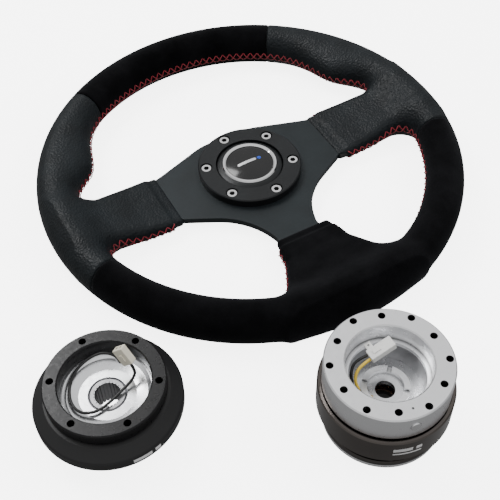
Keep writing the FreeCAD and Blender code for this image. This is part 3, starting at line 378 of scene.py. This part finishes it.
RIM = {"radius": 155.3, "outward": 14.7, "half_high": 17.5, "mid_z": 11.5}
THUMB_DEG, THUMB_BULGE = 28.0, 13.6
THUMB_WIDTH_SPOKE_SIDE, THUMB_WIDTH_FAR_SIDE = 9.0, 14.0
# first and last angle of each cover round the rim
STRETCHES = {
    "top": (55.0, 125.0), "left": (125.0, 199.0), "bottom": (199.0, 343.0), "right": (-17.0, 55.0),
}
# reach from the axis, lowest and highest side, back and front face
SIDE_SLEEVE = [(71, -25, 31, -2.6, 7.2), (100, -24, 28.5, -3.2, 11.3), (124, -22.5, 25.5, -4.2, 17.0),
               (150, -26, 26, -4.8, 26.0)]
BOTTOM_SLEEVE = [(77, -21, 27, -2.6, 7.2), (101, -25, 31, -3.2, 11.3), (120, -35, 40, -4.2, 17.5),
                 (148, -50, 52, -4.8, 26.0)]
SLEEVE_ROUND, SLEEVE_ROUND_SHARE = 9.0, 0.85
SLEEVE_END_ROUND = 2.4
SLEEVE_REACH = 152.0
END_BAND, END_BAND_THIN, END_RIB, END_BAND_STEP = 9.0, 1.3, 0.5, 1.4
CROTCH_BLEND = 16.0
GRID_MARGIN, GRID_STEP, QUICK_GRID_STEP = 4.0, 1.7, 3.0
SEAM_HALF_GAP, SEAM_ROUND = 0.12, 1.1
SPOKES = {
    "left": (180.0, SIDE_SLEEVE, -1),
    "right": (0.0, SIDE_SLEEVE, 1),
    "bottom": (270.0, BOTTOM_SLEEVE, 1),
}


def soft_min(a, b, k):
    """Smaller of two fields, rounded where they are within `k` of each other."""
    share = np.clip(0.5 + 0.5 * (b - a) / k, 0, 1)
    return b + (a - b) * share - k * share * (1 - share)


def soft_max(a, b, k):
    """Larger of two fields, rounded in the same way."""
    return -soft_min(-a, -b, k)


def thumb_bulge(theta):
    total = np.zeros_like(theta)
    for rest, side in ((THUMB_DEG, 1), (180.0 - THUMB_DEG, -1)):
        away = ((theta - rest + 180.0) % 360.0 - 180.0) * side
        width = np.where(away < 0, THUMB_WIDTH_SPOKE_SIDE, THUMB_WIDTH_FAR_SIDE)
        total += THUMB_BULGE * np.exp(-(away / width) ** 2)
    return total


def rim_field(p):
    """About the distance to the rim's skin, an oval section with thumb rests on its inner side."""
    x, y, z = p
    theta = np.degrees(np.arctan2(y, x))
    out = np.hypot(x, y) - RIM["radius"]
    half = np.where(out > 0, RIM["outward"], RIM["outward"] + thumb_bulge(theta))
    up = z - RIM["mid_z"]
    k0 = np.hypot(out / half, up / RIM["half_high"]) + 1e-9
    k1 = np.hypot(out / half ** 2, up / RIM["half_high"] ** 2) + 1e-9
    return k0 * (k0 - 1) / k1


def spoke_axes(p, degrees):
    """Distance along and across a spoke, and height."""
    angle = math.radians(degrees)
    x, y, z = p
    along = x * math.cos(angle) + y * math.sin(angle)
    across = -x * math.sin(angle) + y * math.cos(angle)
    return along, across, z


def sleeve_field(p, degrees, stations, mirror):
    """Distance to a spoke sleeve's skin, with a thinner band and a small rib at its open end."""
    along, across, z = spoke_axes(p, degrees)
    across = across * mirror
    reach = [s[0] for s in stations]
    low, high, back, front = (np.interp(along, reach, [s[i] for s in stations]) for i in (1, 2, 3, 4))
    half_y, half_z = (high - low) / 2, (front - back) / 2
    round_off = np.minimum(half_z * SLEEVE_ROUND_SHARE, SLEEVE_ROUND)
    qy = np.abs(across - (low + high) / 2) - (half_y - round_off)
    qz = np.abs(z - (back + front) / 2) - (half_z - round_off)
    inside = np.minimum(np.maximum(qy, qz), 0)
    section = np.hypot(np.maximum(qy, 0), np.maximum(qz, 0)) + inside - round_off
    past_band = (along - reach[0] - END_BAND) / END_BAND_STEP
    section = section + END_BAND_THIN * (1 - np.tanh(past_band)) / 2 - END_RIB * np.exp(-past_band ** 2)
    section = soft_max(section, reach[0] - along, SLEEVE_END_ROUND)
    return np.maximum(section, along - SLEEVE_REACH)


def whole_field(p):
    """The unbroken padded skin: rim plus three spoke sleeves, blended at the crotches."""
    field = rim_field(p)
    for degrees, stations, mirror in SPOKES.values():
        field = soft_min(field, sleeve_field(p, degrees, stations, mirror), CROTCH_BLEND)
    return field


def grip_field(p, name):
    """One cover: the whole skin cut off at its two seams."""
    first, last = STRETCHES[name]
    field = whole_field(p)
    for degrees, side in ((first, -1), (last, 1)):
        angle = math.radians(degrees)
        beyond = side * (-p[0] * math.sin(angle) + p[1] * math.cos(angle))
        field = soft_max(field, beyond + SEAM_HALF_GAP, SEAM_ROUND)
    return field


EDGES = [((0, 0, 0), (1, 0, 0)), ((0, 1, 0), (1, 1, 0)), ((0, 0, 1), (1, 0, 1)), ((0, 1, 1), (1, 1, 1)),
         ((0, 0, 0), (0, 1, 0)), ((1, 0, 0), (1, 1, 0)), ((0, 0, 1), (0, 1, 1)), ((1, 0, 1), (1, 1, 1)),
         ((0, 0, 0), (0, 0, 1)), ((1, 0, 0), (1, 0, 1)), ((0, 1, 0), (0, 1, 1)), ((1, 1, 0), (1, 1, 1))]


def surface_net(field_of, low, high, step):
    """Closed quad mesh where a distance field crosses zero, settled onto the field afterwards."""
    sides = [np.arange(a, b + step, step) for a, b in zip(low, high)]
    grid = np.meshgrid(*sides, indexing="ij")
    field = field_of(grid)
    shape = np.array(field.shape) - 1
    total = np.zeros((*shape, 3))
    count = np.zeros(shape)

    def corner(offset):
        return field[tuple(slice(o, o + s) for o, s in zip(offset, shape))]

    for start, end in EDGES:
        a, b = corner(start), corner(end)
        cross = (a < 0) != (b < 0)
        share = np.where(cross, a / np.where(cross, a - b, 1.0), 0.0)
        for axis in range(3):
            total[..., axis] += np.where(cross, start[axis] + share * (end[axis] - start[axis]), 0.0)
        count += cross
    active = count > 0
    index = np.full(shape, -1)
    index[active] = np.arange(active.sum())
    cells = np.argwhere(active)
    points = (cells + total[active] / count[active][:, None]) * step + np.array([s[0] for s in sides])
    faces = []
    for axis in range(3):
        u, v = (axis + 1) % 3, (axis + 2) % 3
        first = [slice(None)] * 3
        second = [slice(None)] * 3
        first[axis], second[axis] = slice(0, -1), slice(1, None)
        a, b = field[tuple(first)], field[tuple(second)]
        for flip, cross in ((False, (a < 0) & (b >= 0)), (True, (a >= 0) & (b < 0))):
            spots = np.argwhere(cross)
            spots = spots[(spots[:, u] > 0) & (spots[:, v] > 0)]
            ring = []
            for du, dv in ((0, 0), (1, 0), (1, 1), (0, 1)):
                cell = spots.copy()
                cell[:, u] -= du
                cell[:, v] -= dv
                ring.append(index[tuple(cell.T)])
            quads = np.stack(ring, 1)
            faces.append(quads[:, ::-1] if flip else quads)
    points = settle(points, field_of)
    return points, np.concatenate(faces)


def slope_of(points, field_of, span=0.05):
    """Slope of a field at each point, over a short span either side."""
    slope = np.zeros_like(points)
    for axis in range(3):
        ahead, behind = points.copy(), points.copy()
        ahead[:, axis] += span
        behind[:, axis] -= span
        slope[:, axis] = (field_of(ahead.T) - field_of(behind.T)) / (2 * span)
    return slope


def settle(points, field_of, rounds=3):
    """Move points onto the surface where the field is zero, at most 0.6 mm at a time."""
    for _ in range(rounds):
        slope = slope_of(points, field_of)
        size = (slope ** 2).sum(1, keepdims=True)
        points = points - np.clip(field_of(points.T)[:, None] * slope / np.maximum(size, 0.2), -0.6, 0.6)
    return points


def mesh_object(name, points, faces, material, smooth=True):
    """New object from points in metres and faces."""
    mesh = bpy.data.meshes.new(name)
    mesh.from_pydata([tuple(p) for p in points], [], [tuple(int(i) for i in f) for f in faces])
    mesh.update()
    if smooth:
        mesh.polygons.foreach_set("use_smooth", [True] * len(mesh.polygons))
    mesh.materials.append(MATERIALS[material])
    obj = bpy.data.objects.new(name, mesh)
    bpy.context.scene.collection.objects.link(obj)
    return obj


def add_grip(name, material):
    """Padded cover that stands for one CAD grip."""
    low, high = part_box(f"grip_{name}")
    low = [c / MM - GRID_MARGIN for c in low]
    high = [c / MM + GRID_MARGIN for c in high]
    step = GRID_STEP
    points, faces = surface_net(lambda p: grip_field(p, name), low, high, step)
    grip = mesh_object(f"wrap_{name}", points * MM, faces, material)
    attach(grip, "wheel")
    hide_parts(f"grip_{name}")


# ---------------------------------------------------------------- red cross stitching
# Each opening between the spokes has one band of cross stitches along its padded wall, found by
# rays that run level from a spot in the opening. Lengths are millimetres.

BANDS = {
    "upper": {"spot": (0.0, 72.0), "sweep": (-44.0, 224.0), "clear": (82.5, 82.5)},
    "lower_left": {"spot": (-70.0, -70.0), "sweep": (80.0, 355.0), "clear": (82.5, 88.5)},
    "lower_right": {"spot": (70.0, -70.0), "sweep": (-175.0, 100.0), "clear": (88.5, 82.5)},
}
STITCH_PITCH = 6.2
THREAD_RADIUS = 0.42
# heights of the lower and the upper row of holes, on the rim and on a spoke sleeve
ROW_RIM = (4.0, 12.0)
ROW_SPOKE = (-0.6, 6.0)
CLIMB_FROM, CLIMB_LENGTH = 104.0, 26.0
RAY_COUNT = 700
RAY_STEPS = (4.0, 170.0, 0.5)
ROW_POINTS = 600
THREAD_SUNK, THREAD_PROUD, CROSSING_LIFT = -0.35, 0.85, 0.9


def row_height(x, y, row):
    """Height of a stitch row: it climbs from the thin spoke sleeves to the fat rim."""
    share = np.clip((np.hypot(x, y) - CLIMB_FROM) / CLIMB_LENGTH, 0, 1)
    share = share * share * (3 - 2 * share)
    return ROW_SPOKE[row] + (ROW_RIM[row] - ROW_SPOKE[row]) * share


def wall_path(band, row):
    """Points along one stitch row, where rays at even angles meet the padded wall."""
    angles = np.radians(np.linspace(*band["sweep"], RAY_COUNT))
    along = np.arange(*RAY_STEPS)
    x = band["spot"][0] + np.outer(np.cos(angles), along)
    y = band["spot"][1] + np.outer(np.sin(angles), along)
    inside = whole_field([x, y, row_height(x, y, row)]) < 0
    hit = inside.argmax(1)
    rows = np.arange(len(angles))
    x, y = x[rows, hit], y[rows, hit]
    spots = np.stack([x, y, row_height(x, y, row)], 1)
    first, last = band["clear"]
    limit = np.where(rows < len(rows) // 2, first, last)
    return spots[inside.any(1) & (np.hypot(x, y) > limit)]


def spread(spots, count):
    """The same path as `count` points, evenly spaced along its length."""
    length = np.concatenate([[0], np.cumsum(np.linalg.norm(np.diff(spots, axis=0), axis=1))])
    even = np.linspace(0, length[-1], count)
    return np.stack([np.interp(even, length, spots[:, axis]) for axis in range(3)], 1)


def smooth_path(spots, rounds=40):
    """Even out sharp turns by averaging neighbours, with the ends kept."""
    for _ in range(rounds):
        spots[1:-1] = (spots[:-2] + 2 * spots[1:-1] + spots[2:]) / 4
    return spots


def add_stitching(name, band):
    """Two crossing zigzags of thread between an upper and a lower row of holes."""
    rows = [smooth_path(spread(wall_path(band, row), ROW_POINTS)) for row in (0, 1)]
    length = np.linalg.norm(np.diff(rows[0], axis=0), axis=1).sum()
    count = int(length / STITCH_PITCH)
    low, high = (spread(row, count) for row in rows)
    share = np.linspace(0, 1, 7)[:, None]
    lines, lifts = [], []
    for i in range(count - 1):
        for start, end, over in ((low[i], high[i + 1], 0.0), (high[i], low[i + 1], 1.0)):
            lines.append(start + (end - start) * share)
            bow = np.sin(math.pi * share[:, 0])
            lifts.append(THREAD_SUNK + THREAD_PROUD * np.minimum(1, bow * 1.6)
                         + over * CROSSING_LIFT * bow ** 4)
    lift = np.concatenate(lifts)
    points = settle(np.concatenate(lines), lambda p: whole_field(p) - lift, 5)
    add_tubes(f"stitch_{name}", points.reshape(len(lines), len(share), 3), THREAD_RADIUS, "red_thread",
              "wheel")


# ---------------------------------------------------------------- small pieces

def add_tubes(name, lines, radius, material, body, sides=6):
    """Many short round threads in one mesh; each line is a list of points in millimetres."""
    points, faces = [], []
    for line in lines:
        base = len(points)
        for i, spot in enumerate(line):
            ahead = line[min(i + 1, len(line) - 1)] - line[max(i - 1, 0)]
            ahead = ahead / np.linalg.norm(ahead)
            helper = np.array([0, 0, 1.0]) if abs(ahead[2]) < 0.9 else np.array([1.0, 0, 0])
            side = np.cross(ahead, helper)
            side /= np.linalg.norm(side)
            lift = np.cross(side, ahead)
            size = radius * (0.7 if i in (0, len(line) - 1) else 1.0)
            for k in range(sides):
                angle = 2 * math.pi * k / sides
                points.append(spot + size * (math.cos(angle) * side + math.sin(angle) * lift))
        for i in range(len(line) - 1):
            for k in range(sides):
                a = base + i * sides + k
                b = base + i * sides + (k + 1) % sides
                faces.append((a, b, b + sides, a + sides))
        faces.append(tuple(base + k for k in reversed(range(sides))))
        faces.append(tuple(base + (len(line) - 1) * sides + k for k in range(sides)))
    obj = mesh_object(name, np.array(points) * MM, faces, material)
    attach(obj, body)
    return obj


def lathe(name, profile, centre, material, body, segments=96):
    """Closed solid turned about a vertical axis; the profile starts and ends on the axis."""
    points = [(centre[0], centre[1], profile[0][1]), (centre[0], centre[1], profile[-1][1])]
    inner = profile[1:-1]
    for radius, height in inner:
        for k in range(segments):
            angle = 2 * math.pi * k / segments
            across, up = radius * math.cos(angle), radius * math.sin(angle)
            points.append((centre[0] + across, centre[1] + up, height))
    faces = []
    for k in range(segments):
        after = (k + 1) % segments
        faces.append((0, 2 + after, 2 + k))
        for ring in range(len(inner) - 1):
            a, b = 2 + ring * segments + k, 2 + ring * segments + after
            faces.append((a, b, b + segments, a + segments))
        top = 2 + (len(inner) - 1) * segments
        faces.append((1, top + k, top + after))
    obj = mesh_object(name, points, faces, material)
    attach(obj, body)
    return obj


def dome_height(radius):
    """Height of the horn cap's skin at a distance from its middle."""
    low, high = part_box("horn_cap")
    edge = high.z - CAP_RISE
    share = min(1.0, radius / CAP_RADIUS)
    return edge + CAP_RISE * (1 - share ** 2.2)


CAP_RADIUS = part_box("horn_cap")[1].x
CAP_RISE = 0.0026
INLAY_DEEP = 0.0002
INLAY_HIGH = 0.00014


def add_cap():
    """Glossy domed cap with a plain inlaid bar and dot."""
    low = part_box("horn_cap")[0].z
    steps = [CAP_RADIUS * math.sin(math.pi / 2 * k / 14) for k in range(14, -1, -1)]
    profile = [(0, low), (CAP_RADIUS, low)] + [(r, dome_height(r)) for r in steps]
    cap = lathe("cap_dome", profile, (0, 0), "gloss_black", "horn_button_group")
    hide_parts("horn_cap")
    add_inlay("cap_bar", -0.0095, 0.0045, 0.0013, "silver")
    add_inlay("cap_dot", 0.0085, 0.0086, 0.0016, "blue_inlay")


def add_strip(name, sections, material, body):
    """Thin closed strip through four-cornered sections that go round the same way."""
    points = [point for section in sections for point in section]
    last = 4 * (len(sections) - 1)
    faces = [(3, 2, 1, 0), tuple(last + c for c in range(4))]
    for base in range(0, last, 4):
        for c, d in ((0, 1), (1, 2), (2, 3), (3, 0)):
            faces.append((base + c, base + d, base + 4 + d, base + 4 + c))
    strip = mesh_object(name, points, faces, material, smooth=False)
    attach(strip, body)


def add_inlay(name, start, end, half_wide, material):
    """Thin bar with round ends along X, between two places, that follows the dome."""
    stations = 24
    sections = []
    for k in range(stations + 1):
        share = (1 - math.cos(math.pi * k / stations)) / 2
        x = start - half_wide + (end - start + 2 * half_wide) * share
        past = max(start - x, x - end, 0.0)
        wide = max(math.sqrt(max(half_wide ** 2 - past ** 2, 0.0)), 0.15 * half_wide)
        skin = dome_height(math.hypot(x, wide))
        low, high = skin - INLAY_DEEP, skin + INLAY_HIGH
        sections.append([(x, -wide, low), (x, wide, low), (x, wide, high), (x, -wide, high)])
    add_strip(name, sections, material, "horn_button_group")


MARK_DEEP, MARK_HIGH = 0.2, 0.12
HUB_COVER_RADIUS, LOCK_RING_RADIUS = 49.5, 44.0
# unit, wall radius, lowest and highest edge, first and last angle, body, slot
MARKS = {
    "hub_mark_long": (HUB, HUB_COVER_RADIUS, (16.6, 19.6), (-95.0, -80.0), "hub_adapter", "hub_rubber"),
    "hub_mark_short": (HUB, HUB_COVER_RADIUS, (16.6, 19.6), (-77.0, -72.0), "hub_adapter", "hub_rubber"),
    "ring_mark_long": (COUPLING, LOCK_RING_RADIUS, (29.5, 32.5), (-118.0, -102.0), "lock_ring",
                       "gunmetal_chrome"),
    "ring_mark_short": (COUPLING, LOCK_RING_RADIUS, (29.5, 32.5), (-99.0, -94.0), "lock_ring",
                        "gunmetal_chrome"),
    "ring_mark_line": (COUPLING, LOCK_RING_RADIUS, (26.0, 27.2), (-118.0, -94.0), "lock_ring",
                       "gunmetal_chrome"),
}


def add_mark(name, unit, radius, heights, degrees, body, slot):
    """Plain printed bar on the upright wall of a round piece; heights and radius in millimetres."""
    stations = 16
    low, high = (unit.z + height * MM for height in heights)
    sections = []
    for k in range(stations + 1):
        angle = math.radians(degrees[0] + (degrees[1] - degrees[0]) * k / stations)
        across = Vector((math.cos(angle), math.sin(angle)))
        inner = unit.to_2d() + across * (radius - MARK_DEEP) * MM
        outer = unit.to_2d() + across * (radius + MARK_HIGH) * MM
        sections.append([(*inner, low), (*inner, high), (*outer, high), (*outer, low)])
    add_strip(name, sections, "printed_white", body)


SPRINGS = {
    "horn_spring": ("wheel", "horn_press"),
    "button_spring_front": ("coupling_wheel_side", "button_front_press"),
    "button_spring_rear": ("coupling_wheel_side", "button_rear_press"),
}


def add_spring(node, body, joint_name):
    """Coil in the CAD solid's own shape, copied and attached to a body."""
    coil = bpy.data.objects.new(f"{node}_coil", nodes[node].data.copy())
    bpy.context.scene.collection.objects.link(coil)
    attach(coil, body)
    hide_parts(node)
    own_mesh(coil)


# ---------------------------------------------------------------- loose wires
# Routes are millimetres from each unit's own foot, as the CAD solids lie.

HUB_WIRE = [(17.0, 17.5, 19.6), (17.0, 17.5, 28.8), (13.0, 22.0, 33.0), (5.5, 26.5, 33.0),
            (-6.5, 26.0, 30.5), (-17.5, 19.5, 28.2), (-24.0, 6.0, 27.4), (-22.0, -6.0, 26.6),
            (-11.0, -10.5, 26.0), (1.0, -6.5, 25.4), (11.5, -2.5, 26.2), (18.5, -0.5, 28.0),
            (22.0, 2.0, 32.8), (20.3, 5.8, 37.6)]
YELLOW_WIRE = [(-17.5, 3.5, 30.0), (-17.5, 3.5, 37.5), (-19.0, 8.5, 44.0), (-13.2, 13.0, 49.5),
               (-4.5, 13.0, 51.0)]
BLACK_WIRE = [(-19.0, 9.0, 30.0), (-19.0, 9.0, 37.5), (-18.0, 14.5, 44.0), (-12.5, 18.0, 49.5),
              (-4.5, 16.4, 51.0)]
WIRE_RADIUS = 1.0


def add_wire(node, route, unit, body):
    curve = bpy.data.curves.new(f"{node}_line", "CURVE")
    curve.dimensions = "3D"
    curve.bevel_depth = WIRE_RADIUS * MM
    curve.bevel_resolution = 6
    curve.resolution_u = 12
    curve.use_fill_caps = True
    spline = curve.splines.new("NURBS")
    spline.points.add(len(route) - 1)
    for point, spot in zip(spline.points, route):
        point.co = (*(unit + Vector(spot) * MM), 1)
    spline.order_u = 3
    spline.use_endpoint_u = True
    curve.materials.append(MATERIALS[node if node in MATERIALS else "wire_black"])
    wire = bpy.data.objects.new(f"{node}_cord", curve)
    bpy.context.scene.collection.objects.link(wire)
    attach(wire, body)
    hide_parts(node)


add_camera()
dress_cad_nodes()
add_stage()
add_grip("top", "suede")
add_grip("bottom", "suede")
add_grip("left", "leather")
add_grip("right", "leather")
for band_name, band in BANDS.items():
    add_stitching(band_name, band)
add_cap()
for spring_name, spring_facts in SPRINGS.items():
    add_spring(spring_name, *spring_facts)
for mark_name, mark_facts in MARKS.items():
    add_mark(mark_name, *mark_facts)
add_wire("hub_wire", HUB_WIRE, HUB, "hub_adapter")
add_wire("wire_yellow", YELLOW_WIRE, COUPLING, "coupling_wheel_side")
add_wire("wire_black", BLACK_WIRE, COUPLING, "coupling_wheel_side")
